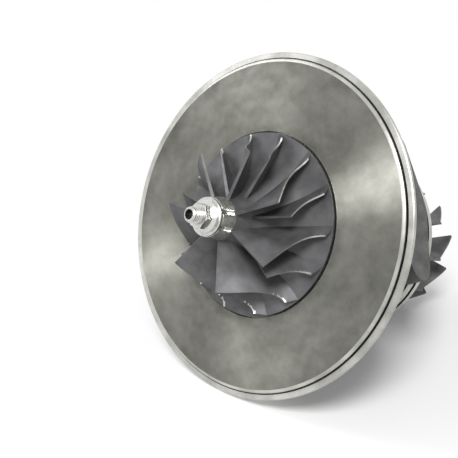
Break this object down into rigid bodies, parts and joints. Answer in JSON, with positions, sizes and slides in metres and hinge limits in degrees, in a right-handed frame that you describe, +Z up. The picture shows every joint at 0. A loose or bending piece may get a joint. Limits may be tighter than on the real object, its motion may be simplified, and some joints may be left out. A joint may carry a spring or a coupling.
{
  "type": "turbo cartridge",
  "caption": "Turbocharger centre assembly: compressor wheel in a large disc flange, cast bearing housing with oil pads, and a turbine wheel on the same free-turning shaft.",
  "frame": {"origin": "on the floor, under the middle of the part as it lies", "axes": "+Z up from the floor; the compressor wheel looks towards -Y and is tilted up, because the part lies on its flange's rim and on its turbine wheel; +X to the right of someone who looks along +Y"},
  "size_m": [0.19, 0.207, 0.1769],
  "materials": {
    "cast_housing": "dark as-cast iron, faces turned bright",
    "wheel_alloy": "cast alloy, satin",
    "turbine_alloy": "cast nickel alloy, dull",
    "bright_steel": "turned steel, bright",
    "ground_steel": "ground steel",
    "shield_steel": "bright stainless sheet",
    "spring_steel": "dark spring steel",
    "bearing_bronze": "bearing bronze, machined",
    "seal_alloy": "machined alloy",
    "seal_rubber": "black rubber"
  },
  "bodies": {
    "housing": {"bearing_housing": "cast_housing", "gallery_plug": "bright_steel", "seal_plate": "seal_alloy", "seal_plate_oring": "seal_rubber", "seal_plate_circlip": "spring_steel", "oil_baffle": "shield_steel", "thrust_bearing": "bearing_bronze", "thrust_bearing_screws": "ground_steel", "front_bearing_circlip": "spring_steel", "rear_bearing_circlip": "spring_steel", "bearing_spacer": "ground_steel", "heat_shield": "shield_steel", "turbine_piston_rings": "spring_steel", "compressor_piston_rings": "spring_steel"},
    "rotor": {"rotor_shaft": "ground_steel", "turbine_wheel": "turbine_alloy", "thrust_collar": "ground_steel", "thrust_sleeve": "ground_steel", "oil_slinger": "ground_steel", "compressor_wheel": "wheel_alloy", "nut_washer": "bright_steel", "compressor_nut": "bright_steel"},
    "front_bush": {"front_journal_bearing": "bearing_bronze"},
    "rear_bush": {"rear_journal_bearing": "bearing_bronze"}
  },
  "joints": [
    {"name": "rotor_spin", "type": "hinge", "parent": "housing", "child": "rotor", "pos_m": [0, -0.04988, 0.08971], "axis": [0, -0.927, 0.3751], "continuous": true},
    {"name": "front_bush_spin", "type": "hinge", "parent": "housing", "child": "front_bush", "pos_m": [0, -0.01067, 0.07385], "axis": [0, -0.927, 0.3751], "continuous": true},
    {"name": "rear_bush_spin", "type": "hinge", "parent": "housing", "child": "rear_bush", "pos_m": [0, 0.01658, 0.06282], "axis": [0, -0.927, 0.3751], "continuous": true}
  ],
  "couplings": [
    {"joint": "front_bush_spin", "follows": "rotor_spin", "ratio": 0.3},
    {"joint": "rear_bush_spin", "follows": "rotor_spin", "ratio": 0.3}
  ]
}
